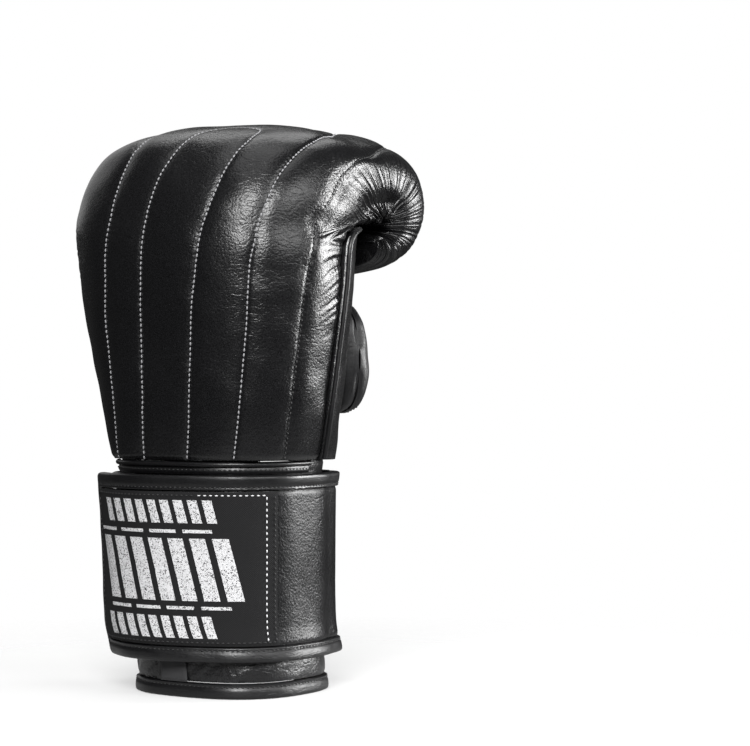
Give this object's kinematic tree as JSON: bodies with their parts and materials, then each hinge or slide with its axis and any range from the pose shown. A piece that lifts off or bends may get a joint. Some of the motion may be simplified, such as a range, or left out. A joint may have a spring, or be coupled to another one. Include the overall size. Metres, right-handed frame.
{
  "type": "bag glove",
  "caption": "Padded leather bag glove, fingers curled over the palm, with an attached thumb and a wide wrist strap that wraps round a split cuff.",
  "frame": {"origin": "in plan the middle of the whole glove, at the height of the wrist rim's underside, on which it stands", "axes": "+Z from the cuff to the knuckles, -Y towards the back of the hand, +Y towards the palm, +X towards the little finger, -X towards the thumb"},
  "size_m": [0.1416, 0.152, 0.267],
  "materials": {
    "smooth_leather": "semi-gloss grained",
    "soft_leather": "matte grained",
    "woven_cloth": "matte woven"
  },
  "bodies": {
    "root": {"fist_pad": "smooth_leather", "palm_panel": "smooth_leather", "index_gusset_lower": "soft_leather", "index_gusset_upper": "soft_leather", "thumb_pad": "soft_leather", "thumb_facing": "soft_leather", "side_piping": "smooth_leather", "base_piping": "smooth_leather", "base_band": "smooth_leather", "wrist_sleeve": "smooth_leather", "wrist_rim": "smooth_leather", "cuff_panel": "smooth_leather", "panel_binding_top": "smooth_leather", "panel_binding_bottom": "smooth_leather", "strap": "smooth_leather", "strap_binding": "smooth_leather", "patch": "woven_cloth", "size_tag": "woven_cloth"}
  },
  "joints": []
}
